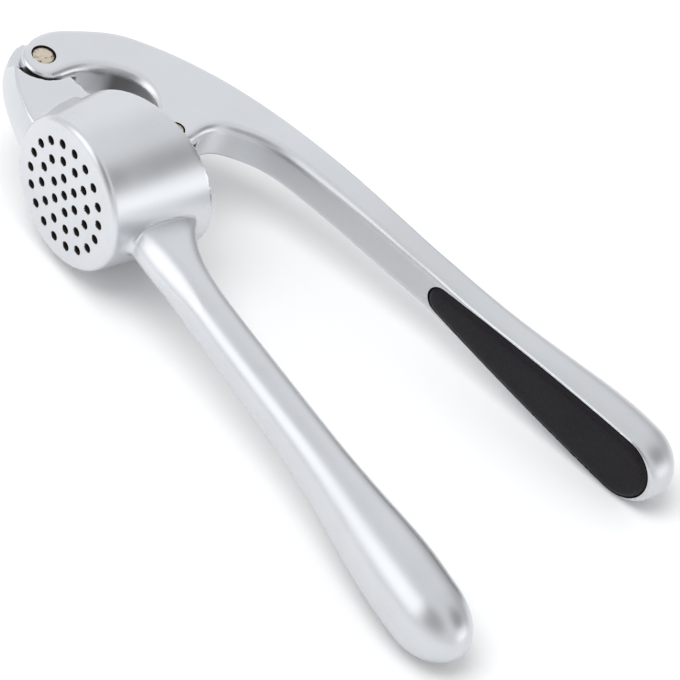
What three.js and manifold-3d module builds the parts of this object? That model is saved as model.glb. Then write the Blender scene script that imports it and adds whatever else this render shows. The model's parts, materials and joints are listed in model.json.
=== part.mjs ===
// Hand-held garlic press, lying on its side with the lever partly open.
// Millimetres. Every piece is drawn in the press frame and the whole press is then laid on its side:
//   x runs along the lower handle, away from the cup,
//   y runs along the cup's axis, from the perforated face to the mouth,
//   z is the direction of both pivot pins; the flat sides of the castings face +z and -z.
import * as THREE from "three";
import { mergeVertices } from "three/addons/utils/BufferGeometryUtils.js";
import Module from "manifold-3d";

// ---------------------------------------------------------------- driving dimensions

// Cup: a cone that widens from the perforated face to a slanted mouth.
const faceRadius = 19.75;
const cupFlare = 0.095;
const faceEdgeRadius = 1.8;
const floorThickness = 2.6;
const chamberRadius = 17.5;
const chamberFlare = 0.045;
const mouthHeight = 23.2;
const mouthSlope = 0.26;
const cupBlankHeight = 34;

// Perforations: rings of 6, 12 and 18 holes round a middle one.
const holeDiameter = 2.4;
const holeRingPitch = 4.68;
const holeRings = 3;
const holesPerRingStep = 6;
const holePatternTurn = -6.2;

// Pivots, as places in the press frame.
const hingeX = -38.2;
const hingeY = 18.3;
const plungerPinX = -3.8;
const plungerPinY = 35.6;
const hingePinRadius = 3.0;
const plungerPinRadius = 2.3;
const pinClearance = 0.3;
const pinRecess = 0.5;
const throughHalfLength = 10;

// Castings.
const halfThickness = 5.7;
const edgeChamfer = 1.5;
const knuckleRadius = 6.4;
const knuckleShiftX = 0.5;
const knuckleShiftY = 0.7;
const tongueRadius = 7.2;
const recessRadius = 8.7;
const tongueHalfThickness = 2.2;
const forkHalfGap = 2.6;
const forkClearance = 0.4;
const lugTipRadius = 5;
const lowerNoseLength = 13;
const leverNoseLength = 12;

// Plunger: a disc on a flat stem, hung from its own pin and leaning into the cup.
const plungerRadius = 15.9;
const plungerDiscThickness = 4;
const plungerReach = 22;
const plungerLean = 10;
const stemHalfWidth = 4.2;
const stemHeadRadius = 4.6;

// Grip: a soft pad let into the inner face of the lever's handle.
const gripStart = 101.5;
const gripEnd = 174.7;
const gripNarrowRadius = 4.1;
const gripWideRadius = 8.9;
const gripRecessDepth = 2.5;
const gripSideBulge = 1.3;
const gripGap = 0.35;
const gripProud = 0.2;

// The flat inner face of the lever's handle, seen from the hinge: y = gripFaceStart + gripFaceSlope x.
const gripFaceStart = 34.8;
const gripFaceSlope = 0.155;

// How the press lies: it rests on the cup's rim and on the two handle ends.
const lyingPitch = 5.29;
const lyingRoll = 0.87;

const wasm = await Module();
wasm.setup();

// ---------------------------------------------------------------- helpers

// A three.js geometry as a manifold-3d solid.
function solid(geometry) {
  const bare = geometry.clone();
  bare.deleteAttribute("normal");
  bare.deleteAttribute("uv");
  const merged = mergeVertices(bare, 1e-4);
  return new wasm.Manifold(
    new wasm.Mesh({
      numProp: 3,
      vertProperties: new Float32Array(merged.attributes.position.array),
      triVerts: new Uint32Array(merged.index.array),
    }),
  );
}

// A manifold-3d solid back as a three.js geometry.
function geometryOf(body) {
  const mesh = body.getMesh();
  const geometry = new THREE.BufferGeometry();
  geometry.setAttribute("position", new THREE.BufferAttribute(new Float32Array(mesh.vertProperties), 3));
  geometry.setIndex(new THREE.BufferAttribute(new Uint32Array(mesh.triVerts), 1));
  geometry.computeVertexNormals();
  return geometry;
}

// A round bar along z, centred on the mid-plane.
function roundBar(radius, halfLength, x, y, sides = 32) {
  const bar = new THREE.CylinderGeometry(radius, radius, 2 * halfLength, sides);
  return bar.rotateX(Math.PI / 2).translate(x, y, 0);
}

// A solid of revolution about y. The profile is given as [radius, y] from the bottom up.
function turned(profile, sides) {
  const points = profile.map((p) => new THREE.Vector2(p[0], p[1]));
  return solid(new THREE.LatheGeometry(points, sides));
}

// A block given by its lowest and highest corners.
function block(low, high) {
  const box = new THREE.BoxGeometry(high[0] - low[0], high[1] - low[1], high[2] - low[2]);
  return box.translate((low[0] + high[0]) / 2, (low[1] + high[1]) / 2, (low[2] + high[2]) / 2);
}

// An outline in x and y as a plate with chamfered edges, centred on the mid-plane.
function plate(outline, halfHeight, chamfer) {
  const curveSegments = 6;
  const levels = [-halfHeight, chamfer - halfHeight, halfHeight - chamfer, halfHeight];
  const top = levels.length - 1;
  const settings = { depth: top, steps: top, curveSegments, bevelEnabled: false };
  const geometry = new THREE.ExtrudeGeometry(outline, settings);
  const corners = outline.extractPoints(curveSegments).shape;
  const inward = corners.map((corner, i) => inwardDirection(corners, i));
  const point = geometry.attributes.position;
  for (let i = 0; i < point.count; i++) {
    const level = Math.round(point.getZ(i));
    const x = point.getX(i);
    const y = point.getY(i);
    const nearest = corners.findIndex((c) => Math.hypot(c.x - x, c.y - y) < 1e-3);
    const inset = level === 0 || level === top ? chamfer : 0;
    point.setXYZ(i, x + inset * inward[nearest].x, y + inset * inward[nearest].y, levels[level]);
  }
  return geometry;
}

// The direction that points into an outline at one of its corners.
function inwardDirection(corners, i) {
  const before = corners.slice(0, i).reverse().concat(corners.slice(i + 1).reverse());
  const after = corners.slice(i + 1).concat(corners.slice(0, i));
  const apart = (c) => c.distanceTo(corners[i]) > 1e-3;
  const along = after.find(apart).clone().sub(before.find(apart)).normalize();
  const side = THREE.ShapeUtils.area(corners) > 0 ? 1 : -1;
  return new THREE.Vector2(-along.y * side, along.x * side);
}

// A bar whose section changes along x. Each station is [x, middle y, half width in y, half height in z,
// squareness]. The section is a superellipse, and the far end closes in a half round of the given length.
// Its rings lie closer together towards that end, and the last one stops just short of a point.
function shapedBar(stations, noseLength, rings, sides) {
  const lastRing = 0.998;
  const places = (a, b) => stations.map((s) => new THREE.Vector3(s[0], s[a], s[b]));
  const curveOf = (a, b) => new THREE.CatmullRomCurve3(places(a, b));
  const middleCurve = curveOf(1, 4);
  const sizeCurve = curveOf(2, 3);
  const bar = new THREE.CylinderGeometry(1, 1, 1, sides, rings);
  const point = bar.attributes.position;
  const start = stations[0][0];
  const length = stations[stations.length - 1][0] - start;
  for (let i = 0; i < point.count; i++) {
    const along = Math.sin((point.getY(i) + 0.5) * (Math.PI / 2) * lastRing);
    const x = start + length * along;
    const toEnd = (start + length - x) / noseLength;
    const nose = toEnd < 1 ? Math.sqrt(1 - (1 - toEnd) ** 2) : 1;
    const middle = middleCurve.getPoint(curveParameter(middleCurve, x));
    const half = sizeCurve.getPoint(curveParameter(sizeCurve, x));
    const radial = nose * Math.hypot(point.getX(i), point.getZ(i));
    const angle = Math.atan2(-point.getZ(i), point.getX(i));
    const power = 2 / middle.z;
    const y = Math.sign(Math.cos(angle)) * Math.abs(Math.cos(angle)) ** power;
    const z = Math.sign(Math.sin(angle)) * Math.abs(Math.sin(angle)) ** power;
    point.setXYZ(i, x, middle.y + radial * half.y * y, radial * half.z * z);
  }
  return bar;
}

// The parameter at which a curve that always advances in x reaches a given x.
function curveParameter(curve, x) {
  let low = 0;
  let high = 1;
  for (let i = 0; i < 30; i++) {
    const half = (low + high) / 2;
    if (curve.getPoint(half).x < x) low = half;
    else high = half;
  }
  return (low + high) / 2;
}

// A named mesh from a solid or a geometry.
function piece(name, shape, material) {
  const geometry = shape.getMesh ? geometryOf(shape) : shape;
  const mesh = new THREE.Mesh(geometry, material);
  mesh.name = name;
  return mesh;
}

// ---------------------------------------------------------------- lower casting

// The outer surface of the cup, with a rounded edge round the perforated face.
function cupOutside() {
  const profile = [[0, 0]];
  const arcSteps = 4;
  for (let i = 0; i <= arcSteps; i++) {
    const turn = (i / arcSteps) * (Math.PI / 2);
    const r = faceRadius - faceEdgeRadius * (1 - Math.sin(turn));
    profile.push([r, faceEdgeRadius * (1 - Math.cos(turn))]);
  }
  profile.push([faceRadius + cupFlare * cupBlankHeight, cupBlankHeight]);
  profile.push([0, cupBlankHeight]);
  return turned(profile, 64);
}

// The space inside the cup, from its floor out through the mouth.
function cupChamber() {
  const top = cupBlankHeight + 1;
  const profile = [
    [0, floorThickness],
    [chamberRadius, floorThickness],
    [chamberRadius + chamberFlare * top, top],
    [0, top],
  ];
  return turned(profile, 64);
}

// What the slanted mouth takes off the top of the cup.
function mouthCut() {
  const half = 40;
  const cut = block([-half, 0, -half], [half, half, half]);
  return solid(cut.rotateZ(Math.atan(mouthSlope)).translate(0, mouthHeight, 0));
}

// The perforations, all along y.
function perforations() {
  const holes = [];
  const drill = () => new THREE.CylinderGeometry(holeDiameter / 2, holeDiameter / 2, 3 * floorThickness, 12);
  holes.push(drill());
  for (let ring = 1; ring <= holeRings; ring++) {
    const count = holesPerRingStep * ring;
    for (let i = 0; i < count; i++) {
      const turn = THREE.MathUtils.degToRad(holePatternTurn + (360 * i) / count);
      const r = holeRingPitch * ring;
      holes.push(drill().translate(r * Math.cos(turn), 0, r * Math.sin(turn)));
    }
  }
  return wasm.Manifold.union(holes.map(solid));
}

// The arm of the casting that reaches from the cup to the hinge, with a thin tongue round the hinge pin.
function hingeBracket() {
  const outline = new THREE.Shape();
  outline.moveTo(-10, 4);
  outline.lineTo(-19, 0.6);
  outline.splineThru([
    new THREE.Vector2(-27.5, 2.1),
    new THREE.Vector2(-34, 4.6),
    new THREE.Vector2(-39.5, 8),
    new THREE.Vector2(-43.9, 12.7),
  ]);
  outline.lineTo(-30, 20.4);
  outline.lineTo(-22, 21.6);
  outline.lineTo(-10, 16);
  const arm = solid(plate(outline, halfThickness, edgeChamfer));
  const recess = solid(roundBar(recessRadius, throughHalfLength, hingeX, hingeY, 48));
  const tongue = solid(roundBar(tongueRadius, tongueHalfThickness, hingeX, hingeY, 40));
  const root = solid(
    block([hingeX - 2, hingeY - 10, -tongueHalfThickness], [hingeX + 9, hingeY + 1, tongueHalfThickness]),
  );
  const bore = solid(roundBar(hingePinRadius + pinClearance, throughHalfLength, hingeX, hingeY));
  return arm.subtract(recess).add(tongue).add(root).subtract(bore);
}

// The neck and the rounded lower handle. Near the cup the bar is deep in y and then it narrows.
function lowerHandle() {
  const stations = [
    [14, 16.3, 10.3, 5.4, 3],
    [21, 15.6, 9.6, 5.5, 3],
    [27, 13.5, 7.9, 5.8, 3],
    [37, 11.8, 6, 5.7, 2.6],
    [50, 11.1, 5.7, 5.6, 2.3],
    [77, 10.2, 6, 6, 2.2],
    [98, 9.1, 6.7, 7, 2.1],
    [114, 8, 8.1, 8.3, 2.1],
    [131, 6.9, 9.3, 9.5, 2.1],
    [143, 6.2, 9, 9.5, 2.1],
    [153.5, 6.5, 8.8, 9.3, 2.1],
  ];
  return solid(shapedBar(stations, lowerNoseLength, 44, 28));
}

// The whole lower casting.
function pressBody(material) {
  const cup = cupOutside().subtract(mouthCut());
  const blank = cup.add(hingeBracket()).add(lowerHandle());
  return piece("press_body", blank.subtract(cupChamber()).subtract(perforations()), material);
}

// ---------------------------------------------------------------- lever

// Places on the lever are measured from the hinge axis, at the resting opening.
const pinX = plungerPinX - hingeX;
const pinY = plungerPinY - hingeY;

// The fork, the arch over the cup's rim, the lug and the flat part of the lever's arm.
function leverOutline() {
  const outline = new THREE.Shape();
  outline.absarc(knuckleShiftX, knuckleShiftY, knuckleRadius, -0.6, -Math.PI, true);
  outline.splineThru([
    new THREE.Vector2(-6.75, 4),
    new THREE.Vector2(-6.5, 7.5),
    new THREE.Vector2(-4.7, 12.8),
    new THREE.Vector2(-2.1, 18.5),
    new THREE.Vector2(1.35, 23.7),
    new THREE.Vector2(11.2, 32),
    new THREE.Vector2(22.9, 39),
    new THREE.Vector2(43.7, 47.2),
    new THREE.Vector2(67.2, 53),
    new THREE.Vector2(98, 58.1),
  ]);
  outline.lineTo(110, 57);
  outline.lineTo(98, 50);
  outline.splineThru([
    new THREE.Vector2(79, 46.1),
    new THREE.Vector2(59.1, 41.4),
    new THREE.Vector2(48.4, 37.6),
    new THREE.Vector2(42, 33),
    new THREE.Vector2(38.5, 29),
    new THREE.Vector2(38, 25),
    new THREE.Vector2(39, 20),
  ]);
  outline.absarc(pinX, pinY, lugTipRadius, 0.3, -2.6, true);
  outline.splineThru([
    new THREE.Vector2(25.1, 18.5),
    new THREE.Vector2(21, 20),
    new THREE.Vector2(16.9, 19.6),
    new THREE.Vector2(11, 15.8),
    new THREE.Vector2(8, 10.9),
    new THREE.Vector2(7.3, 5),
    new THREE.Vector2(7.6, 0),
  ]);
  return outline;
}

// The lever's handle swells towards its end.
function leverHandle() {
  const stations = [
    [80, 51, 4.3, 5.5, 5],
    [98, 54.1, 4.35, 5.75, 5],
    [108, 55.6, 5, 5.95, 4],
    [117, 56.8, 6, 6.45, 3.2],
    [127, 58.2, 7.1, 7.4, 2.8],
    [139, 60.4, 8.4, 8.5, 2.5],
    [151, 62.7, 9.6, 9.3, 2.4],
    [161, 64.3, 9.8, 9.85, 2.3],
    [177, 65.8, 8.8, 9.7, 2.3],
  ];
  return solid(shapedBar(stations, leverNoseLength, 40, 28));
}

// The grip's teardrop outline: u along the inner face, v across it, both ends round.
function gripOutline(shrink) {
  const along = Math.hypot(1, gripFaceSlope);
  const narrow = gripNarrowRadius - shrink;
  const wide = gripWideRadius - shrink;
  const from = gripStart * along + gripNarrowRadius;
  const to = gripEnd * along - gripWideRadius;
  const lean = Math.asin((wide - narrow) / (to - from));
  const side = (wide + narrow) / 2 + gripSideBulge;
  const outline = new THREE.Shape();
  outline.absarc(from, 0, narrow, Math.PI / 2 + lean, -Math.PI / 2 - lean, false);
  outline.quadraticCurveTo((from + to) / 2, -side, to + wide * Math.sin(-lean), -wide * Math.cos(lean));
  outline.absarc(to, 0, wide, -Math.PI / 2 - lean, Math.PI / 2 + lean, false);
  outline.quadraticCurveTo((from + to) / 2, side, from - narrow * Math.sin(lean), narrow * Math.cos(lean));
  return outline;
}

// The grip's outline as a slab whose outer face lies a given distance outside the handle's inner face.
function gripSlab(shrink, outwards, depth) {
  const settings = { depth, bevelEnabled: false, curveSegments: 14 };
  const slab = new THREE.ExtrudeGeometry(gripOutline(shrink), settings);
  slab.rotateX(-Math.PI / 2);
  slab.translate(0, -outwards, 0);
  slab.rotateZ(Math.atan(gripFaceSlope));
  return slab.translate(0, gripFaceStart, 0);
}

// The whole upper casting, with its fork, lug slot, bores and the grip's pocket cut out.
function lever(material) {
  const handle = leverHandle();
  const below = block([60, -60, -20], [220, 0, 20]);
  below.rotateZ(Math.atan(gripFaceSlope)).translate(0, gripFaceStart, 0);
  const blank = solid(plate(leverOutline(), halfThickness, edgeChamfer)).add(handle.subtract(solid(below)));
  const hingeSlot = solid(roundBar(recessRadius + forkClearance, forkHalfGap, 0, 0, 40));
  const slotRoot = solid(block([-4, -12, -forkHalfGap], [12, 4, forkHalfGap]));
  const lugSlot = solid(block([pinX - 12, pinY - 8, -forkHalfGap], [pinX + 7, pinY + 7, forkHalfGap]));
  const hingeBore = solid(roundBar(hingePinRadius + pinClearance, throughHalfLength, 0, 0));
  const pinBore = solid(roundBar(plungerPinRadius + pinClearance, throughHalfLength, pinX, pinY));
  const pocket = solid(gripSlab(0, gripRecessDepth, 2 * gripRecessDepth));
  const cuts = [hingeSlot, slotRoot, lugSlot, hingeBore, pinBore, pocket];
  return piece("press_lever", blank.subtract(wasm.Manifold.union(cuts)), material);
}

// The soft pad, a little smaller than its pocket and just proud of the inner face.
function grip(material) {
  return piece("handle_grip", gripSlab(gripGap, gripProud, gripRecessDepth - gripGap + gripProud), material);
}

// ---------------------------------------------------------------- pins and plunger

function hingePin(material) {
  const pin = roundBar(hingePinRadius, halfThickness - pinRecess, 0, 0);
  return piece("hinge_pin", pin, material);
}

function plungerPin(material) {
  const pin = roundBar(plungerPinRadius, halfThickness - pinRecess, 0, 0);
  return piece("plunger_pin", pin, material);
}

// The plunger hangs from its pin along -y.
function plunger(material) {
  const top = plungerDiscThickness - plungerReach;
  const edge = 0.6;
  const profile = [
    [0, -plungerReach],
    [plungerRadius - edge, -plungerReach],
    [plungerRadius, edge - plungerReach],
    [plungerRadius, top - edge],
    [plungerRadius - edge, top],
    [0, top],
  ];
  const disc = turned(profile, 48);
  const stemLow = [-stemHalfWidth, top - 1, -tongueHalfThickness];
  const stem = solid(block(stemLow, [stemHalfWidth, 0, tongueHalfThickness]));
  const head = solid(roundBar(stemHeadRadius, tongueHalfThickness, 0, 0));
  const bore = solid(roundBar(plungerPinRadius + pinClearance, throughHalfLength, 0, 0));
  return piece("plunger", disc.add(stem).add(head).subtract(bore), material);
}

// ---------------------------------------------------------------- assembly

const castMetal = { color: 0xc9ccd0, roughness: 0.42, metalness: 0.9 };
const pinSteel = { color: 0xb9b09c, roughness: 0.3, metalness: 1 };
const softBlack = { color: 0x17171a, roughness: 0.62, metalness: 0 };
const materialOf = (look) => new THREE.MeshStandardMaterial(look);

// The plunger and its pin, about the pin's axis.
const hanger = new THREE.Group();
const ram = plunger(materialOf(castMetal));
ram.rotation.z = THREE.MathUtils.degToRad(plungerLean);
hanger.add(ram, plungerPin(materialOf(pinSteel)));
hanger.position.set(pinX, pinY, 0);

// The lever and all that swings with it, about the hinge axis.
const swing = new THREE.Group();
swing.add(lever(materialOf(castMetal)), grip(materialOf(softBlack)), hingePin(materialOf(pinSteel)), hanger);
swing.position.set(hingeX, hingeY, 0);

// The whole press, laid on its side with the middle of its footprint at the origin.
const press = new THREE.Group();
press.add(pressBody(materialOf(castMetal)), swing);
press.rotation.set(THREE.MathUtils.degToRad(-lyingRoll), THREE.MathUtils.degToRad(lyingPitch), 0);

const part = new THREE.Group();
part.add(press);
const extent = new THREE.Box3().setFromObject(part, true);
const middle = extent.getCenter(new THREE.Vector3());
press.position.set(-middle.x, -middle.y, -extent.min.z);

export default part;
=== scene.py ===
"""Looks of the garlic press: castings, soft grip, pins, floor, light and camera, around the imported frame.

Shapes are written in the press frame, in millimetres: x runs along the lower handle away from the cup,
y along the cup's axis from the perforated face to the mouth, z along the pivot pins. lay() turns that
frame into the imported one. Each casting is a distance field (negative inside), skinned as a quad mesh."""

import json

import bmesh
import bpy
import numpy as np
from mathutils import Matrix, Vector


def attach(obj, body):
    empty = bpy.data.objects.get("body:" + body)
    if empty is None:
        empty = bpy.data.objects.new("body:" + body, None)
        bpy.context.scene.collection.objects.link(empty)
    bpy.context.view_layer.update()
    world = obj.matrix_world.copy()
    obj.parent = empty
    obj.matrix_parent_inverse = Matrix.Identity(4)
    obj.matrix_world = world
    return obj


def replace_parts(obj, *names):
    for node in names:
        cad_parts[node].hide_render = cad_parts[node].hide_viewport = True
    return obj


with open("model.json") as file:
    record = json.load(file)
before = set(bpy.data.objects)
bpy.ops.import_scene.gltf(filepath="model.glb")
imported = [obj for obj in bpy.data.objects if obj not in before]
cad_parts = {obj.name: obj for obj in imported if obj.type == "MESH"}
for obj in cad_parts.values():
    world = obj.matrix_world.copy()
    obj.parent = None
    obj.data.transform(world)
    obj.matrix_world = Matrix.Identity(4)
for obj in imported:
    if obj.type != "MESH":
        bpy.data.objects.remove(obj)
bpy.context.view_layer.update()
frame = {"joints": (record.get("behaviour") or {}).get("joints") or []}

# ---------------------------------------------------------------- driving dimensions (mm, degrees)

FACE_RADIUS = 19.75  # the cup: a cone that widens to a slanted mouth
CUP_FLARE = 0.095
FACE_EDGE = 1.8
FLOOR_THICKNESS = 2.6
CHAMBER_RADIUS = 17.5
CHAMBER_FLARE = 0.045
MOUTH_HEIGHT = 23.2
MOUTH_SLOPE = 0.26
CHIP_TURNS = (46, 31)  # knocks on the mouth's rim, by degrees round the axis
CHIP_RADIUS = 0.9
CHIP_OUT = 0.75  # the middle of a knock, outside the cup and above the rim
CHIP_UP = 0.35

HOLE_DIAMETER = 2.4  # the perforations: rings of 6, 12 and 18 round a middle one
HOLE_RING_PITCH = 4.68
HOLE_RINGS = 3
HOLE_PATTERN_TURN = -6.2

HINGE = np.array([-38.2, 18.3, 0.0])  # the pivots
PLUNGER_PIN = np.array([-3.8, 35.6, 0.0])
HINGE_PIN_RADIUS = 3.0
PLUNGER_PIN_RADIUS = 2.3
PIN_CLEARANCE = 0.3
HINGE_PIN_RECESS = 0.25  # how far each pin's ends lie below the lever's flat sides
PLUNGER_PIN_RECESS = 0.06
BORE_GAP = 0.2  # between a pin and its hole
TIGHT_BORE_GAP = 0.1

HALF_THICKNESS = 5.7  # the castings
KNUCKLE_RADIUS = 6.6
KNUCKLE_SHIFT = np.array([1.3, 0.4])
TONGUE_RADIUS = 7.2
RECESS_RADIUS = 8.7
TONGUE_HALF = 2.2
FORK_HALF_GAP = 2.6
LUG_TIP_RADIUS = 5.0
NECK_MIDDLE = 12.6  # the level that the neck's bevels are measured from
NECK_BEVEL = 6.5
CROWN_SAG = 2.8  # how far the bracket's outer bevel runs in, from its middle to its edge
CROWN_RIDGE = 1.2
WEB_REACH = 2.3  # the wedge of metal between the cup and the bracket

GRIP_START = 101.5  # the soft grip and the flat inner face that it sits in
GRIP_END = 174.7
GRIP_NARROW = 4.1
GRIP_WIDE = 8.9
GRIP_BULGE = 1.3
GRIP_RECESS_DEPTH = 2.5
GRIP_FACE_START = 34.8
GRIP_FACE_SLOPE = 0.155

PLUNGER_RADIUS = 15.9  # the plunger, hung from its pin and leaning into the cup
PLUNGER_DISC = 4.0
PLUNGER_REACH = 22.0
PLUNGER_LEAN = 10.0
STEM_HALF_WIDTH = 4.2
STEM_HEAD_RADIUS = 4.6

LYING_PITCH = 5.29  # how the press lies on its side
LYING_ROLL = 0.87

SKIN_STEP = 0.42  # the edge of the quads that skin a casting
BODY_SKIN_STEP = 0.45

CHAMBER_PAINTED_SHADE = 0.5  # painted shade on the faces, from 0 for bare metal to 1 for black
WEDGE_SHADE = 0.16
CREASE_SHADE = 0.4
# painted shade that darkens the lower handle towards its end
BODY_PAINTED_SHADE = 0.08
ARCH_SHADE = 0.8
INNER_FACE_SHADE = 0.16
# painted shade that darkens the lever's handle towards its end
LEVER_PAINTED_SHADE = 0.12

CAMERA_AZIMUTH = 39.46  # the viewing angle, in degrees, and the aim, in metres
CAMERA_ELEVATION = 43.77
CAMERA_ROLL = 17.04
CAMERA_AIM = (0.011615, -0.006474, 0.015)
CAMERA_DISTANCE = 0.77809
CAMERA_LENS = 169.41

# ---------------------------------------------------------------- placing

MM = 0.001
TURN = Matrix.Rotation(np.radians(-LYING_ROLL), 3, "X") @ Matrix.Rotation(np.radians(LYING_PITCH), 3, "Y")
LIE = np.array(TURN)
hinge_joint = next(j for j in frame["joints"] if j["name"] == "lever_hinge")
SHIFT = np.array(hinge_joint["pos_m"]) / MM - LIE @ HINGE


def unlay(points):
    """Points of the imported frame, in metres, as points of the press frame, in millimetres."""
    return (np.asarray(points, float) / MM - SHIFT) @ LIE


def lay(points):
    """Points of the press frame, in millimetres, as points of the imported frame, in metres."""
    return (np.asarray(points, float) @ LIE.T + SHIFT) * MM


# ---------------------------------------------------------------- curves and distance fields


def spline(knots, values):
    """A natural cubic spline through rows of values at knots, as a function."""
    gap, last = np.diff(knots), len(knots) - 1
    system, right = np.eye(last + 1), np.zeros((last + 1,) + values.shape[1:])
    slope = (np.diff(values, axis=0).T / gap).T
    for i in range(1, last):
        system[i, i - 1 : i + 2] = gap[i - 1], 2 * (gap[i - 1] + gap[i]), gap[i]
        right[i] = 6 * (slope[i] - slope[i - 1])
    bend = np.linalg.solve(system, right)

    def at(x):
        x = np.clip(x, knots[0], knots[-1])
        i = np.clip(np.searchsorted(knots, x) - 1, 0, last - 1)
        g, a, b = gap[i][..., None], (knots[i + 1] - x)[..., None], (x - knots[i])[..., None]
        cubic = (bend[i] * a**3 + bend[i + 1] * b**3) / (6 * g)
        return cubic + (values[i] / g - bend[i] * g / 6) * a + (values[i + 1] / g - bend[i + 1] * g / 6) * b

    return at


def smooth_path(points, spacing=0.6):
    """A smooth line through points, as many points."""
    points = np.asarray(points, float)
    along = np.concatenate([[0], np.cumsum(np.linalg.norm(np.diff(points, axis=0), axis=1))])
    return spline(along, points)(np.linspace(0, along[-1], int(along[-1] / spacing) + 2))


def arc(centre, radius, start, end, steps=40):
    """Points on an arc, from one angle to another in radians."""
    turn = np.linspace(start, end, steps)
    return np.stack([centre[0] + radius * np.cos(turn), centre[1] + radius * np.sin(turn)], 1)


def outline_field(corners, step=0.5, margin=14):
    """The signed distance to a closed outline, as a smooth function of x and y, negative inside."""
    corners = np.asarray(corners, float)
    low = corners.min(0) - margin
    size = np.ceil((corners.max(0) + margin - low) / step).astype(int) + 4
    gx = (low[0] + step * np.arange(size[0]))[:, None]
    gy = (low[1] + step * np.arange(size[1]))[None, :]
    nearest = np.full(size, 1e9)
    inside = np.zeros(size, bool)
    for a, b in zip(corners, np.roll(corners, -1, 0)):
        side = b - a
        share = ((gx - a[0]) * side[0] + (gy - a[1]) * side[1]) / max(side @ side, 1e-12)
        share = np.clip(share, 0, 1)
        apart = (gx - a[0] - share * side[0]) ** 2 + (gy - a[1] - share * side[1]) ** 2
        nearest = np.minimum(nearest, apart)
        crosses = (a[1] > gy) != (b[1] > gy)
        if side[1]:
            inside ^= crosses & (gx < a[0] + (gy - a[1]) * side[0] / side[1])
    values = np.sqrt(nearest) * np.where(inside, -1, 1)

    def weights(t):
        rising = (1 + 3 * t + 3 * t**2 - 3 * t**3) / 6
        return [(1 - t) ** 3 / 6, (3 * t**3 - 6 * t**2 + 4) / 6, rising, t**3 / 6]

    def at(x, y):
        u = np.clip((x - low[0]) / step, 1, size[0] - 3.001)
        v = np.clip((y - low[1]) / step, 1, size[1] - 3.001)
        i, j = u.astype(int), v.astype(int)
        wu, wv = weights(u - i), weights(v - j)
        return sum(wu[a] * wv[b] * values[i + a - 1, j + b - 1] for a in range(4) for b in range(4))

    return at


def both(a, b, radius):
    """The overlap of two fields, with its edge rounded to a radius."""
    flat = np.minimum(np.maximum(a, b) + radius, 0)
    return flat + np.hypot(np.maximum(a + radius, 0), np.maximum(b + radius, 0)) - radius


def either(a, b, blend):
    """The union of two fields, with its inner corner filled over a width."""
    share = np.clip(0.5 + 0.5 * (b - a) / blend, 0, 1)
    return b + (a - b) * share - blend * share * (1 - share)


def smooth_step(x, start, end):
    """0 up to start, 1 from end on, and an even ease between them. It falls where end is under start."""
    t = np.clip((x - start) / (end - start), 0, 1)
    return t * t * (3 - 2 * t)


def shaped_bar(stations, nose):
    """A bar along x through stations (x, middle y, half width in y, half height in z, squareness)."""
    table = np.array(stations, float)
    shape = spline(table[:, 0], table[:, 1:])
    nose_start = table[-1, 0] - nose

    def at(x, y, z):
        middle, half_y, half_z, square = np.moveaxis(shape(x), -1, 0)
        across = (np.abs(y - middle) / half_y) ** square + (np.abs(z) / half_z) ** square
        past = np.maximum(x - nose_start, 0)
        reach = np.sqrt(across ** (2 / square) + (past / nose) ** 2)
        radial = np.sqrt((y - middle) ** 2 + z**2 + past**2)
        return radial * (1 - 1 / np.maximum(reach, 0.05))

    return at


# ---------------------------------------------------------------- skinning a field


def net(distance, low, high, step):
    """Quads that skin the zero of a distance field: one point in each cell that the surface crosses."""
    low = np.asarray(low, float)
    count = np.ceil((np.asarray(high) - low) / step).astype(int) + 1
    x, y, z = (low[i] + step * np.arange(count[i]) for i in range(3))
    field = distance(x[:, None, None], y[None, :, None], z[None, None, :]).astype(np.float32)
    inside = field < 0
    cells = np.zeros(count - 1, np.int8)
    for i in (0, 1):
        for j in (0, 1):
            for k in (0, 1):
                cells += inside[i : count[0] - 1 + i, j : count[1] - 1 + j, k : count[2] - 1 + k]
    crossed = (cells > 0) & (cells < 8)
    place = np.argwhere(crossed)
    number = np.full(crossed.shape, -1)
    number[crossed] = np.arange(len(place))
    total, hits = np.zeros((len(place), 3)), np.zeros((len(place), 1))
    for axis in range(3):
        step_along = np.eye(3, dtype=int)[axis]
        for i in (0, 1):
            for j in (0, 1):
                corner = place + np.insert([i, j], axis, 0)
                a = field[tuple(corner.T)]
                b = field[tuple((corner + step_along).T)]
                cross = (a < 0) != (b < 0)
                share = np.where(cross, a / np.where(cross, a - b, 1), 0)[:, None]
                total += np.where(cross[:, None], corner + share * step_along, 0)
                hits += cross[:, None]
    points = low + step * total / hits
    quads = []
    for axis in range(3):
        one, two = (axis + 1) % 3, (axis + 2) % 3
        start = np.argwhere(np.diff(inside.astype(np.int8), axis=axis) != 0)
        start = start[(start[:, one] > 0) & (start[:, two] > 0)]
        back_one, back_two = np.eye(3, dtype=int)[one], np.eye(3, dtype=int)[two]
        ring = [start, start - back_one, start - back_one - back_two, start - back_two]
        quad = np.stack([number[tuple(c.T)] for c in ring], 1)
        outward = inside[tuple(start.T)]
        quads.append(np.where(outward[:, None], quad, quad[:, ::-1]))
    return points, np.concatenate(quads)


def settle(distance, points, quads, step, rounds=10):
    """Moves the net's points onto the surface, and evens them out along it."""
    links = np.concatenate([quads[:, [i, (i + 1) % 4]] for i in range(4)])
    links = np.concatenate([links, links[:, ::-1]])
    degree = np.bincount(links[:, 0], minlength=len(points))[:, None]
    for _ in range(rounds):
        points = pull(distance, points, step)
        mean = np.stack([np.bincount(links[:, 0], points[links[:, 1], i], len(points)) for i in range(3)], 1)
        points = points + 0.5 * (mean / degree - points)
    return pull(distance, pull(distance, points, step), step)


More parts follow.
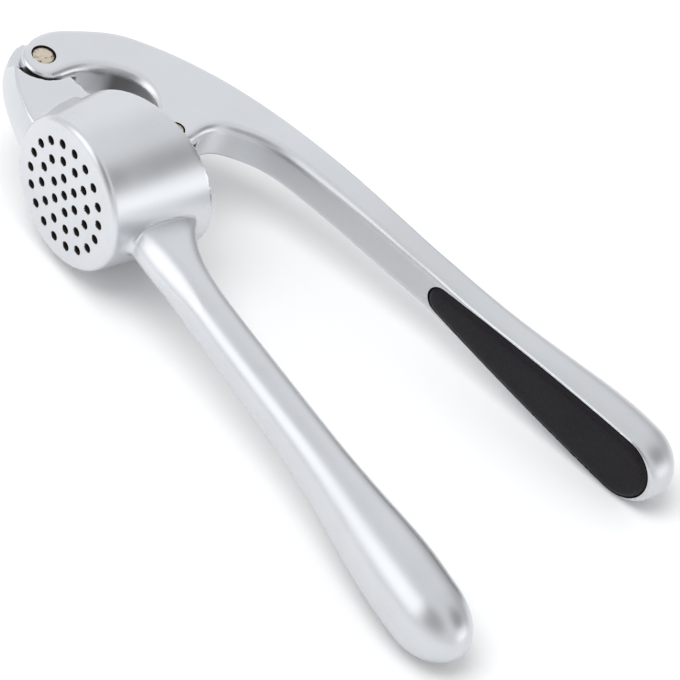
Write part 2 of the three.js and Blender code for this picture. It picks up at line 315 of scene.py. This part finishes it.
def pull(distance, points, step):
    """Each point moved along the field's slope to its zero, by no more than most of a cell."""
    value = distance(*points.T)
    probe = 0.05
    slope = np.stack([(distance(*(points + probe * e).T) - value) / probe for e in np.eye(3)], 1)
    steep = np.maximum((slope**2).sum(1), 0.1)[:, None]
    move = value[:, None] * slope / steep
    length = np.linalg.norm(move, axis=1, keepdims=True)
    return points - move * np.minimum(1, 0.7 * step / np.maximum(length, 1e-9))


def edge_wear(distance, points):
    """0 on flat and hollow places, 1 on sharp outer edges: where a casting is rubbed bright."""
    reach = 0.5
    around = sum(distance(*(points + s * reach * e).T) for e in np.eye(3) for s in (-1, 1))
    bend = (around - 6 * distance(*points.T)) / reach**2
    return smooth_step(bend, 0.25, 1.1)


def mesh_object(name, points, faces):
    """A mesh object from points of the press frame."""
    mesh = bpy.data.meshes.new(name)
    mesh.from_pydata(lay(points).tolist(), [], [list(map(int, f)) for f in faces])
    mesh.polygons.foreach_set("use_smooth", [True] * len(mesh.polygons))
    mesh.update()
    obj = bpy.data.objects.new(name, mesh)
    bpy.context.scene.collection.objects.link(obj)
    return obj


def skinned(name, distance, low, high, step=SKIN_STEP):
    """A casting's mesh, with its wear as an attribute of its points."""
    points, quads = net(distance, low, high, step)
    points = settle(distance, points, quads, step)
    obj = mesh_object(name, points, quads)
    wear = obj.data.attributes.new("wear", "FLOAT", "POINT")
    wear.data.foreach_set("value", edge_wear(distance, points).astype(np.float32))
    return obj


def cut(obj, *tools):
    """Cuts closed tool meshes out of obj, which keeps a clean edge there."""
    for tool in tools:
        modifier = obj.modifiers.new("cut", "BOOLEAN")
        modifier.operation, modifier.solver, modifier.object = "DIFFERENCE", "MANIFOLD", tool
    bpy.context.view_layer.update()
    shape = bpy.data.meshes.new_from_object(obj.evaluated_get(bpy.context.evaluated_depsgraph_get()))
    obj.modifiers.clear()
    obj.data = shape
    obj.data.set_sharp_from_angle(angle=np.radians(40))
    for tool in tools:
        bpy.data.objects.remove(tool)


def turned(name, profile, sides, place):
    """A closed solid of revolution. The profile is (radius, height) from the bottom up; place maps it."""
    turn = np.arange(sides) * 2 * np.pi / sides
    rings = [np.stack([r * np.cos(turn), np.full(sides, h), r * np.sin(turn)], 1) for r, h in profile]
    points = np.concatenate(rings)
    faces = [list(range(sides)), list(range(len(points) - sides, len(points)))[::-1]]
    for ring in range(len(profile) - 1):
        for i in range(sides):
            a, b = ring * sides + i, ring * sides + (i + 1) % sides
            faces.append([a, a + sides, b + sides, b])
    return mesh_object(name, place(points), faces)


# ---------------------------------------------------------------- lower casting

bar = shaped_bar(
    [
        (14, 16.3, 10.3, 5.4, 3),
        (21, 15.6, 9.6, 5.5, 3),
        (27, 13.5, 7.9, 5.8, 3),
        (37, 11.8, 6, 5.7, 2.6),
        (50, 11.1, 5.7, 5.6, 2.3),
        (77, 10.2, 6, 6, 2.2),
        (98, 9.1, 6.7, 7, 2.1),
        (114, 8, 8.1, 8.3, 2.1),
        (131, 6.9, 9.3, 9.5, 2.1),
        (143, 6.2, 9, 9.5, 2.1),
        (153.5, 6.5, 8.8, 9.3, 2.1),
    ],
    nose=13,
)
bracket_crown = smooth_path(
    [(-10, 4), (-19, 0.6), (-27.5, 2.1), (-34, 4.6), (-39.5, 8), (-43.9, 12.7), (-45.6, 16)]
)
bracket_top = [(-45.9, 18.3), (-38.2, 18.4), (-30, 20.4), (-22, 21.6), (-10, 16)]
bracket_plan = outline_field(np.concatenate([bracket_crown, bracket_top]))


def cup_side(x, y, z):
    """The distance to the cup's cone."""
    return (np.hypot(x, z) - FACE_RADIUS - CUP_FLARE * y) / np.hypot(1, CUP_FLARE)


def mouth_plane(x, y):
    """The height above the cup's slanted mouth."""
    return (y - MOUTH_HEIGHT - MOUTH_SLOPE * x) / np.hypot(1, MOUTH_SLOPE)


def bracket_arm(x, y, z):
    """The flat bracket from the cup to the hinge, with a round recess and a tongue for the lever's fork."""
    crown = smooth_step(y - 0.206 * (x + 29.3), 20, 9)
    bevel = CROWN_SAG * crown * (np.hypot(z, CROWN_RIDGE) - CROWN_RIDGE) / HALF_THICKNESS
    arm = both(bracket_plan(x, y) + bevel, np.abs(z) - HALF_THICKNESS, 0.4)
    from_hinge = np.hypot(x - HINGE[0], y - HINGE[1])
    recess = np.maximum(from_hinge - RECESS_RADIUS, TONGUE_HALF - np.abs(z))
    arm = both(arm, -recess, 0.25)
    tongue = both(from_hinge - TONGUE_RADIUS, np.abs(z) - TONGUE_HALF, 0.4)
    return np.minimum(arm, tongue)


def lower_handle(x, y, z):
    """The round handle, with two bevels that square its neck and fade out along it."""
    fade = NECK_BEVEL + 3.5 * smooth_step(x, 34, 62) + 12 * smooth_step(x, 58, 100)
    bevel = (np.abs(z) + NECK_MIDDLE - y) * np.sqrt(0.5) - fade
    return np.maximum(both(bar(x, y, z), bevel, 1.2), 12 - x)


def lower_casting(x, y, z):
    """The cup, its bracket and its handle as one casting."""
    cup = both(cup_side(x, y, z), -y, FACE_EDGE)
    cup = both(cup, mouth_plane(x, y), 0.5)
    arm = bracket_arm(x, y, z)
    arm_web = WEB_REACH * smooth_step(y, 1, 14) * smooth_step(y, 22, 17)
    web = np.maximum((cup + arm - arm_web) * np.sqrt(0.5), np.abs(z) - 11)
    neck_fillet = 0.4 + 3.2 * smooth_step(y, 9, 3)
    whole = either(np.minimum(either(cup, arm, 0.5), web), lower_handle(x, y, z), neck_fillet)
    chamber = np.hypot(x, z) - CHAMBER_RADIUS - CHAMBER_FLARE * y
    chamber = both(chamber, FLOOR_THICKNESS - y, 1.2)
    whole = both(whole, -chamber, 0.5)
    for turn in np.radians(CHIP_TURNS):
        radius = FACE_RADIUS + CUP_FLARE * MOUTH_HEIGHT + CHIP_OUT
        rim = (radius * np.cos(turn), radius * np.sin(turn))
        high = MOUTH_HEIGHT + MOUTH_SLOPE * rim[0] + CHIP_UP
        chip = CHIP_RADIUS - np.sqrt((x - rim[0]) ** 2 + (y - high) ** 2 + (z - rim[1]) ** 2)
        whole = np.maximum(whole, chip)
    return whole


def drills():
    """The perforations, each with a slightly broken edge."""
    tools = []
    for ring in range(HOLE_RINGS + 1):
        count = max(1, 6 * ring)
        for i in range(count):
            turn = np.radians(HOLE_PATTERN_TURN + 360 * i / count)
            middle = HOLE_RING_PITCH * ring * np.array([np.cos(turn), 0, np.sin(turn)])
            r = HOLE_DIAMETER / 2
            profile = [(r + 0.6, -0.5), (r + 0.1, 0.0), (r, 0.12), (r, FLOOR_THICKNESS + 1)]
            tools.append(turned("drill", profile, 28, lambda p, m=middle: p + m))
    return tools


def joined(objects):
    """Several meshes as one object."""
    whole = bmesh.new()
    for o in objects:
        whole.from_mesh(o.data)
    mesh = bpy.data.meshes.new("joined")
    whole.to_mesh(mesh)
    whole.free()
    for o in objects:
        bpy.data.objects.remove(o)
    obj = bpy.data.objects.new("joined", mesh)
    bpy.context.scene.collection.objects.link(obj)
    return obj


def along_pins(centre):
    """Turns a solid of revolution from the cup's direction to the pins', about a centre."""
    return lambda p: p[:, [0, 2, 1]] * [1, -1, 1] + centre


def bore(radius, centre, half_length=8):
    """A round tool along the pins' direction."""
    return turned("bore", [(radius, -half_length), (radius, half_length)], 72, along_pins(centre))


def darkened(obj, dirt_and_shade):
    """Paints shade onto the faces, as a face attribute from 0 for bare metal to 1 for black."""
    middles = np.empty(3 * len(obj.data.polygons))
    obj.data.polygons.foreach_get("center", middles)
    # painted shade: each face's darkness, which the metal mixes towards black
    painted_shade = dirt_and_shade(*unlay(middles.reshape(-1, 3)).T)
    mark = obj.data.attributes.new("painted_shade", "FLOAT", "FACE")
    mark.data.foreach_set("value", painted_shade.astype(np.float32))


def in_bore(x, y, z, centre, radius):
    """Whether a face lies on the wall of a pin's hole, below the flat sides."""
    near = np.hypot(x - centre[0], y - centre[1]) < radius + PIN_CLEARANCE + 0.05
    return near & (np.abs(z) < HALF_THICKNESS - 0.1)


def in_perforation(x, y, z):
    """Whether a face lies within the perforated floor."""
    return (np.hypot(x, z) < CHAMBER_RADIUS - 1) & (y > 0.06) & (y < FLOOR_THICKNESS - 0.05)


def body_painted_shade(x, y, z):
    """How much painted shade each face of the lower casting gets."""
    from_hinge = np.hypot(x - HINGE[0], y - HINGE[1])
    cup_side_of_hinge = (x > HINGE[0] - 1) & (y < HINGE[1] + 1)
    around_hinge = cup_side_of_hinge & (from_hinge < RECESS_RADIUS + 0.05)
    around_hinge &= (np.abs(z) > TONGUE_HALF - 0.1) & (np.abs(z) < HALF_THICKNESS - 0.4)
    # painted shade: the perforations, the hinge bore and the recess round the knuckle are painted black
    painted_shade = in_perforation(x, y, z) | in_bore(x, y, z, HINGE, HINGE_PIN_RADIUS) | around_hinge
    chamber_wall = CHAMBER_RADIUS + CHAMBER_FLARE * y
    chamber = (np.hypot(x, z) < chamber_wall + 0.1) & (y > FLOOR_THICKNESS - 0.05)
    wedge = (x < -10) & (np.abs(z) > HALF_THICKNESS + 0.1) & (cup_side(x, y, z) > 0.1)
    from_crease = np.maximum(np.abs(cup_side(x, y, z)), np.abs(bar(x, y, z)))
    crease = (x > 12) * smooth_step(y, 4, 7) * smooth_step(y, 23, 19) * smooth_step(from_crease, 0.7, 0.1)
    # painted shade inside the cup, on the wedge beside the bracket and along the neck's crease
    shade = CHAMBER_PAINTED_SHADE * chamber + WEDGE_SHADE * wedge + CREASE_SHADE * crease
    # painted shade that darkens the handle towards its end
    return np.where(painted_shade, 1.0, shade + BODY_PAINTED_SHADE * smooth_step(x, 25, 60))


body = skinned("body_casting", lower_casting, (-47.5, -4.5, -24), (155, 31, 24), BODY_SKIN_STEP)
cut(body, joined(drills()), bore(HINGE_PIN_RADIUS + BORE_GAP, HINGE))
darkened(body, body_painted_shade)
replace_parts(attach(body, "base"), "press_body")

# ---------------------------------------------------------------- lever (measured from the hinge)

pin_x, pin_y = (PLUNGER_PIN - HINGE)[:2]
outer_edge = smooth_path(
    [(-6.15, 0.55), (-6.75, 4), (-6.5, 7.5), (-4.7, 12.8), (-2.1, 18.5), (1.35, 23.7), (6, 28), (11.2, 32)]
    + [(16.8, 35.6), (22.9, 39), (36.4, 44.8), (51.2, 49.4), (67.2, 53), (84.1, 55.7), (100.8, 58.6)]
    + [(117, 62.5), (127, 65)]
)
inner_edge = smooth_path(
    [(125, 53.4), (103, 50), (95, 48.7), (87, 47.6), (79, 46.1), (67, 43.4), (59.1, 41.4), (51.8, 39.2)]
    + [(45.5, 35.9), (41.5, 32.5), (38.7, 29), (38, 25), (38.9, 20.5)]
)
arch_edge = smooth_path(
    [(26.5, 17.2), (24.4, 18.2), (21, 18.9), (16.9, 18.3), (11.9, 14.8), (8.7, 10.3), (7.3, 5), (7.4, 1)]
)
lever_plan = outline_field(
    np.concatenate(
        [
            arc(KNUCKLE_SHIFT, KNUCKLE_RADIUS, -0.3, -2.75),
            outer_edge,
            inner_edge,
            arc((pin_x, pin_y), LUG_TIP_RADIUS, 0.3, -2.6),
            arch_edge,
        ]
    )
)
lever_bar = shaped_bar(
    [
        (80, 51, 4.3, 5.5, 5),
        (98, 54.1, 4.35, 5.75, 5),
        (108, 55.6, 5, 5.95, 4),
        (117, 56.8, 6, 6.45, 3.2),
        (127, 58.2, 7.1, 7.4, 2.8),
        (139, 60.4, 8.4, 8.5, 2.5),
        (151, 62.7, 9.6, 9.3, 2.4),
        (161, 64.3, 9.8, 9.85, 2.3),
        (177, 65.8, 8.8, 9.7, 2.3),
    ],
    nose=12,
)


def inner_face(x, y):
    """The depth under the lever handle's flat inner face."""
    return (GRIP_FACE_START + GRIP_FACE_SLOPE * x - y) / np.hypot(1, GRIP_FACE_SLOPE)


def slot(x, y, z, low, high):
    """A flat slot between the fork's sides, from a low corner to a high one."""
    sides = [low[0] - x, x - high[0], low[1] - y, y - high[1], np.abs(z) - FORK_HALF_GAP]
    return np.maximum.reduce(np.broadcast_arrays(*sides))


def upper_casting(x, y, z):
    """The lever: a flat plate that turns into a round handle, with slots for the tongue and the plunger."""
    x, y = x - HINGE[0], y - HINGE[1]
    from_hinge = np.hypot(x, y)
    hollow = smooth_step(np.hypot(x - 15, y - 8), 17, 12)
    inner_side = smooth_step(y - 31.2 - 0.23 * x, 2.5, -2.5) * smooth_step(x, 26, 34)
    edge = 1.4 + 1.2 * np.maximum(hollow, inner_side * smooth_step(x, 92, 48))
    edge = edge - 0.1 * smooth_step(from_hinge, 12, 8)
    plate = both(lever_plan(x, y), np.abs(z) - HALF_THICKNESS, edge)
    handle = both(lever_bar(x, y, z), inner_face(x, y), 0.45)
    share = smooth_step(x, 84, 106)
    lever = plate + (handle - plate) * share
    fork = np.maximum(from_hinge - RECESS_RADIUS - 0.4, np.abs(z) - FORK_HALF_GAP)
    root = slot(x, y, z, (-4, -12), (12, 4))
    lug = slot(x, y, z, (pin_x - 9.5, pin_y - 8), (pin_x + 5, pin_y + 5.1))
    slots = np.minimum(np.minimum(fork, root), lug)
    return both(lever, -slots, 0.3)


def grip_outline(shrink, steps=24):
    """The grip's teardrop outline: u along the inner face, v across it."""
    along = np.hypot(1, GRIP_FACE_SLOPE)
    narrow, wide = GRIP_NARROW - shrink, GRIP_WIDE - shrink
    start, end = GRIP_START * along + GRIP_NARROW, GRIP_END * along - GRIP_WIDE
    lean = np.arcsin((wide - narrow) / (end - start))
    middle = np.array([(start + end) / 2, (wide + narrow) / 2 + GRIP_BULGE])
    tip = np.array([end - wide * np.sin(lean), wide * np.cos(lean)])
    tail = np.array([start - narrow * np.sin(lean), narrow * np.cos(lean)])
    t = np.linspace(0, 1, 3 * steps)[1:-1, None]
    upper = (1 - t) ** 2 * tip + 2 * t * (1 - t) * middle + t**2 * tail
    lower = upper[::-1] * [1, -1]
    quarter = np.pi / 2
    return np.concatenate(
        [
            arc((start, 0), narrow, quarter + lean, 3 * quarter - lean, steps),
            lower,
            arc((end, 0), wide, -quarter - lean, quarter + lean, steps),
            upper,
        ]
    )


def in_grip(x, y, z):
    """Whether a point measured from the hinge lies within the pocket, seen square to the inner face."""
    u = (x + GRIP_FACE_SLOPE * (y - GRIP_FACE_START)) / np.hypot(1, GRIP_FACE_SLOPE)
    return grip_field(u, z) < 0.06


def on_inner_face(u, v, out):
    """A point along, across and out of the lever's inner face, in the press frame."""
    ahead = np.array([1, GRIP_FACE_SLOPE]) / np.hypot(1, GRIP_FACE_SLOPE)
    x = u * ahead[0] + out * ahead[1] + HINGE[0]
    y = GRIP_FACE_START + u * ahead[1] - out * ahead[0] + HINGE[1]
    return np.stack([x, y, v + 0 * x], -1)


def slab(name, layers):
    """A closed solid from layers (shrink, height out of the inner face), from the deepest outwards."""
    rings = [on_inner_face(*grip_outline(shrink).T, out) for shrink, out in layers]
    count = len(rings[0])
    faces = [list(range(count))[::-1], list(range(count * (len(rings) - 1), count * len(rings)))]
    for k in range(len(rings) - 1):
        for i in range(count):
            a, b = k * count + i, k * count + (i + 1) % count
            faces.append([a, b, b + count, a + count])
    obj = mesh_object(name, np.concatenate(rings), faces)
    shape = bmesh.new()
    shape.from_mesh(obj.data)
    bmesh.ops.recalc_face_normals(shape, faces=shape.faces)
    shape.to_mesh(obj.data)
    shape.free()
    return obj


grip_field = outline_field(grip_outline(0), margin=4)
lever = skinned("lever_casting", upper_casting, (-48, 8, -11.5), (141, 94, 11.5))
pocket = slab("pocket", [(0.12, -GRIP_RECESS_DEPTH), (0.0, -0.25), (-0.1, 0.02), (-0.1, 2)])
hinge_bore = bore(HINGE_PIN_RADIUS + BORE_GAP, HINGE)
plunger_bore = bore(PLUNGER_PIN_RADIUS + TIGHT_BORE_GAP, PLUNGER_PIN)
cut(lever, pocket, hinge_bore, plunger_bore)


def lever_painted_shade(x, y, z):
    """How much painted shade each face of the lever gets."""
    # painted shade: the walls of both pin holes are painted black
    painted_shade = in_bore(x, y, z, HINGE, HINGE_PIN_RADIUS) | in_bore(x, y, z, PLUNGER_PIN, PLUNGER_PIN_RADIUS)
    x, y = x - HINGE[0], y - HINGE[1]
    under_face = inner_face(x, y)
    # painted shade: the pocket's walls under the grip are painted black
    painted_shade |= (under_face < -0.08) & (under_face > -GRIP_RECESS_DEPTH - 0.1) & in_grip(x, y, z)
    # painted shade on the arch's inner wall
    arch = smooth_step(x, 9.5, 12) * smooth_step(x, 25.5, 23.5) * smooth_step(np.abs(z), 5.0, 3.6)
    arch = arch * (y > 8) * (lever_plan(x, y) > -0.3) * (y < 22)
    near_inner_edge = np.maximum(lever_plan(x, y), under_face) > -0.35
    # painted shade along the handle's inner face
    inner = smooth_step(x, 42, 75) * smooth_step(x, 125, 105) * smooth_step(np.abs(z), 5.4, 3.0)
    inner = inner * near_inner_edge * (y < 39 + GRIP_FACE_SLOPE * x)
    # painted shade that darkens the handle towards its end
    handle_shade = LEVER_PAINTED_SHADE * smooth_step(x, 45, 95)
    return np.where(painted_shade, 1.0, np.maximum(ARCH_SHADE * arch, handle_shade + INNER_FACE_SHADE * inner))


darkened(lever, lever_painted_shade)
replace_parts(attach(lever, "lever"), "press_lever")

# ---------------------------------------------------------------- soft grip

grip_sides = [(0.35, -GRIP_RECESS_DEPTH + 0.35), (0.25, -0.5), (0.25, -0.25), (0.4, -0.02)]
grip_crown = [(1.35, 0.62), (1.5, 0.68), (1.9, 0.74), (3.2, 0.8)]
grip = slab("soft_grip", grip_sides + grip_crown)
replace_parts(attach(grip, "lever"), "handle_grip")

# ---------------------------------------------------------------- pins


def pin(name, radius, centre, recess):
    """A turned pin with softly crowned ends."""
    half = HALF_THICKNESS - recess
    side = [(0.2, half), (radius - 0.9, half - 0.02), (radius - 0.35, half - 0.08), (radius, half - 0.4)]
    profile = [(r, -h) for r, h in side] + side[::-1]
    return turned(name, profile, 64, along_pins(centre))


hinge_pin = pin("hinge_pin_turned", HINGE_PIN_RADIUS, HINGE, HINGE_PIN_RECESS)
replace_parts(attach(hinge_pin, "lever"), "hinge_pin")
plunger_pin = pin("plunger_pin_turned", PLUNGER_PIN_RADIUS, PLUNGER_PIN, PLUNGER_PIN_RECESS)
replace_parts(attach(plunger_pin, "lever"), "plunger_pin")

# ---------------------------------------------------------------- plunger


def plunger_shape(x, y, z):
    """The disc, on a flat stem that ends in a round head about the pin."""
    lean = np.radians(PLUNGER_LEAN)
    dx, dy = x - PLUNGER_PIN[0], y - PLUNGER_PIN[1]
    x, y = dx * np.cos(lean) + dy * np.sin(lean), dy * np.cos(lean) - dx * np.sin(lean)
    disc_middle = PLUNGER_DISC / 2 - PLUNGER_REACH
    disc = both(np.hypot(x, z) - PLUNGER_RADIUS, np.abs(y - disc_middle) - PLUNGER_DISC / 2, 0.7)
    stem = np.maximum(np.abs(x) - STEM_HALF_WIDTH, np.abs(y - disc_middle / 2) + disc_middle / 2)
    head = np.hypot(x, y) - STEM_HEAD_RADIUS
    neck = both(either(stem, head, 1), np.abs(z) - TONGUE_HALF, 0.5)
    return either(disc, neck, 2.2)


ram = skinned("plunger_casting", plunger_shape, (-27, 9, -17.5), (18, 42, 17.5))
cut(ram, bore(PLUNGER_PIN_RADIUS + BORE_GAP, PLUNGER_PIN))
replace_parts(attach(ram, "ram"), "plunger")

# ---------------------------------------------------------------- materials


def material(name):
    """A new material, with its nodes, its links and its shader."""
    made = bpy.data.materials.new(name)
    made.use_nodes = True
    nodes = made.node_tree.nodes
    return made, nodes, made.node_tree.links, nodes["Principled BSDF"]


def noise(nodes, links, scale, stretch=(1, 1, 1), detail=4.0):
    """Noise over the object's own coordinates, in features per metre."""
    where = nodes.new("ShaderNodeTexCoord")
    mapping = nodes.new("ShaderNodeMapping")
    mapping.inputs["Scale"].default_value = stretch
    links.new(where.outputs["Object"], mapping.inputs["Vector"])
    made = nodes.new("ShaderNodeTexNoise")
    made.inputs["Scale"].default_value = scale
    made.inputs["Detail"].default_value = detail
    links.new(mapping.outputs["Vector"], made.inputs["Vector"])
    return made.outputs["Fac"]


def span(nodes, links, value, low, high, start=0.3, end=0.7):
    """A value's range from start to end, mapped to low to high."""
    made = nodes.new("ShaderNodeMapRange")
    for socket, number in zip(("From Min", "From Max", "To Min", "To Max"), (start, end, low, high)):
        made.inputs[socket].default_value = number
    links.new(value, made.inputs["Value"])
    return made.outputs["Result"]


def math_node(nodes, links, operation, a, b):
    """The result of one operation on two numbers or outputs."""
    made = nodes.new("ShaderNodeMath")
    made.operation = operation
    for socket, value in zip(made.inputs, (a, b)):
        if isinstance(value, (int, float)):
            socket.default_value = value
        else:
            links.new(value, socket)
    return made.outputs[0]


def mix_colour(nodes, links, share, a, b):
    """A colour between a and b, by a share of b."""
    made = nodes.new("ShaderNodeMix")
    made.data_type = "RGBA"
    links.new(share, made.inputs[0])
    made.inputs[6].default_value = (*a, 1)
    made.inputs[7].default_value = (*b, 1)
    return made.outputs[2]


def bump(nodes, links, height, strength, distance, below=None):
    """A normal tilted by a height, on top of another normal if one is given."""
    made = nodes.new("ShaderNodeBump")
    made.inputs["Strength"].default_value = strength
    made.inputs["Distance"].default_value = distance
    links.new(height, made.inputs["Height"])
    if below is not None:
        links.new(below, made.inputs["Normal"])
    return made.outputs["Normal"]


def cast_metal(name, tint=(0.705, 0.72, 0.745)):
    """Satin, bead-blasted casting: fine grain, faint mottling, polishing streaks, edges rubbed brighter, and
    painted shade mixed in towards black.
    """
    made, nodes, links, shader = material(name)
    wear = nodes.new("ShaderNodeAttribute")
    wear.attribute_name = "wear"
    painted_shade = nodes.new("ShaderNodeAttribute")
    painted_shade.attribute_name = "painted_shade"
    grain = noise(nodes, links, 3200, detail=2)
    streaks = noise(nodes, links, 1400, stretch=(1, 0.04, 1), detail=3)
    mottle = noise(nodes, links, 90, detail=5)
    rough = span(nodes, links, mottle, 0.27, 0.34)
    rubbed = math_node(nodes, links, "MULTIPLY", wear.outputs["Fac"], 0.08)
    links.new(math_node(nodes, links, "SUBTRACT", rough, rubbed), shader.inputs["Roughness"])
    dull = tuple(0.95 * c for c in tint)
    metal_colour = mix_colour(nodes, links, span(nodes, links, mottle, 0.0, 1.0), dull, tint)
    # painted shade: the faces' attribute mixes the colour towards black and takes away the metal
    shaded_colour = nodes.new("ShaderNodeMix")
    shaded_colour.data_type = "RGBA"
    links.new(painted_shade.outputs["Fac"], shaded_colour.inputs[0])
    links.new(metal_colour, shaded_colour.inputs[6])
    shaded_colour.inputs[7].default_value = (0.018, 0.014, 0.012, 1)
    links.new(shaded_colour.outputs[2], shader.inputs["Base Color"])
    links.new(math_node(nodes, links, "SUBTRACT", 1.0, painted_shade.outputs["Fac"]), shader.inputs["Metallic"])
    fine = bump(nodes, links, grain, 0.14, 0.0001)
    links.new(bump(nodes, links, streaks, 0.05, 0.0001, fine), shader.inputs["Normal"])
    return made


def rubber(name):
    """Black soft-touch pad with a fine moulded grain."""
    made, nodes, links, shader = material(name)
    grain = noise(nodes, links, 1900, detail=3)
    mottle = noise(nodes, links, 120, detail=3)
    links.new(span(nodes, links, mottle, 0.42, 0.52), shader.inputs["Roughness"])
    share = span(nodes, links, grain, 0, 1)
    colour = mix_colour(nodes, links, share, (0.006, 0.005, 0.0065), (0.013, 0.011, 0.014))
    links.new(colour, shader.inputs["Base Color"])
    shader.inputs["Specular IOR Level"].default_value = 0.15
    links.new(bump(nodes, links, grain, 0.3, 0.0001), shader.inputs["Normal"])
    return made


def pin_steel(name):
    """Cropped steel pin ends: warm, with specks of dirt."""
    made, nodes, links, shader = material(name)
    specks = noise(nodes, links, 1100, detail=3)
    dirt_and_shade = span(nodes, links, specks, 0, 1, 0.54, 0.7)
    colour = mix_colour(nodes, links, dirt_and_shade, (0.66, 0.59, 0.48), (0.16, 0.12, 0.09))
    links.new(colour, shader.inputs["Base Color"])
    links.new(span(nodes, links, specks, 0.32, 0.5), shader.inputs["Roughness"])
    shader.inputs["Metallic"].default_value = 1.0
    links.new(bump(nodes, links, specks, 0.3, 0.0001), shader.inputs["Normal"])
    return made


def dress(obj, look):
    """Gives a mesh one material."""
    obj.data.materials.clear()
    obj.data.materials.append(look)


dress(body, cast_metal("cast_body_metal"))
dress(lever, cast_metal("cast_lever_metal"))
dress(ram, cast_metal("cast_plunger_metal", (0.55, 0.56, 0.58)))
dress(grip, rubber("grip_rubber"))
for obj in (hinge_pin, plunger_pin):
    dress(obj, pin_steel(obj.name + "_steel"))

# ---------------------------------------------------------------- floor, light and camera


def floor():
    """A wide white floor under the press."""
    half = 4.0
    corners = [(-half, -half, 0), (half, -half, 0), (half, half, 0), (-half, half, 0)]
    mesh = bpy.data.meshes.new("floor")
    mesh.from_pydata(corners, [], [(0, 1, 2, 3)])
    obj = bpy.data.objects.new("floor", mesh)
    bpy.context.scene.collection.objects.link(obj)
    made, nodes, links, shader = material("floor_white")
    shader.inputs["Base Color"].default_value = (0.9, 0.9, 0.9, 1)
    shader.inputs["Roughness"].default_value = 0.9
    dress(obj, made)


def direction(azimuth, elevation):
    """From the object towards a place seen from azimuth 0 at -Y, 90 at +X."""
    a, e = np.radians(azimuth), np.radians(elevation)
    return Vector((np.sin(a) * np.cos(e), -np.cos(a) * np.cos(e), np.sin(e)))


def soft_box(name, azimuth, elevation, distance, size, power):
    """A lamp that lifts the floor and the soft pad, and leaves no hot spot on the metal."""
    light = bpy.data.lights.new(name, "AREA")
    light.shape, light.size, light.energy = "DISK", size, power
    obj = bpy.data.objects.new(name, light)
    back = direction(azimuth, elevation)
    obj.location = back * distance
    obj.rotation_euler = back.to_track_quat("Z", "Y").to_euler()
    obj.visible_glossy = False
    bpy.context.scene.collection.objects.link(obj)


def dome():
    """A studio tent: pale all round, with soft windows and darker gaps between its panels.

    Each patch is (azimuth, elevation, degrees from its middle to its edge, brightness it adds)."""
    patches = [
        (-27, 38, 34, 0.8),
        (124, 0, 32, 0.75),
        (136, 38, 26, -0.62),
        (-131, 26, 36, 0.16),
        (178, 12, 34, -0.34),
        (-152, -8, 30, -0.2),
        (33, 45, 38, -0.5),
    ]
    world = bpy.data.worlds.new("tent")
    bpy.context.scene.world = world
    world.use_nodes = True
    nodes, links = world.node_tree.nodes, world.node_tree.links
    where = nodes.new("ShaderNodeTexCoord")
    total = 0.9
    for azimuth, elevation, reach, gain in patches:
        towards = nodes.new("ShaderNodeVectorMath")
        towards.operation = "DOT_PRODUCT"
        towards.inputs[1].default_value = direction(azimuth, elevation)
        links.new(where.outputs["Generated"], towards.inputs[0])
        share = nodes.new("ShaderNodeMapRange")
        share.interpolation_type = "SMOOTHSTEP"
        share.inputs["From Min"].default_value = np.cos(np.radians(reach))
        share.inputs["From Max"].default_value = np.cos(np.radians(0.15 * reach))
        share.inputs["To Max"].default_value = gain
        links.new(towards.outputs["Value"], share.inputs["Value"])
        total = math_node(nodes, links, "ADD", total, share.outputs["Result"])
    links.new(total, nodes["Background"].inputs["Strength"])
    nodes["Background"].inputs["Color"].default_value = (0.98, 0.99, 1.0, 1)


def camera():
    """The camera, at its azimuth and elevation from the aim, rolled about the line of sight."""
    data = bpy.data.cameras.new("camera")
    data.sensor_width = 36
    data.lens = CAMERA_LENS
    data.clip_start, data.clip_end = 0.01, 20
    obj = bpy.data.objects.new("camera", data)
    back = direction(CAMERA_AZIMUTH, CAMERA_ELEVATION)
    place = Vector(CAMERA_AIM) + back * CAMERA_DISTANCE
    turn = back.to_track_quat("Z", "Y").to_matrix() @ Matrix.Rotation(np.radians(CAMERA_ROLL), 3, "Z")
    obj.matrix_world = Matrix.Translation(place) @ turn.to_4x4()
    bpy.context.scene.collection.objects.link(obj)
    bpy.context.scene.camera = obj


floor()
dome()
soft_box("overhead", azimuth=-20, elevation=70, distance=1.6, size=1.2, power=12)
camera()
bpy.context.scene.view_settings.view_transform = "Standard"
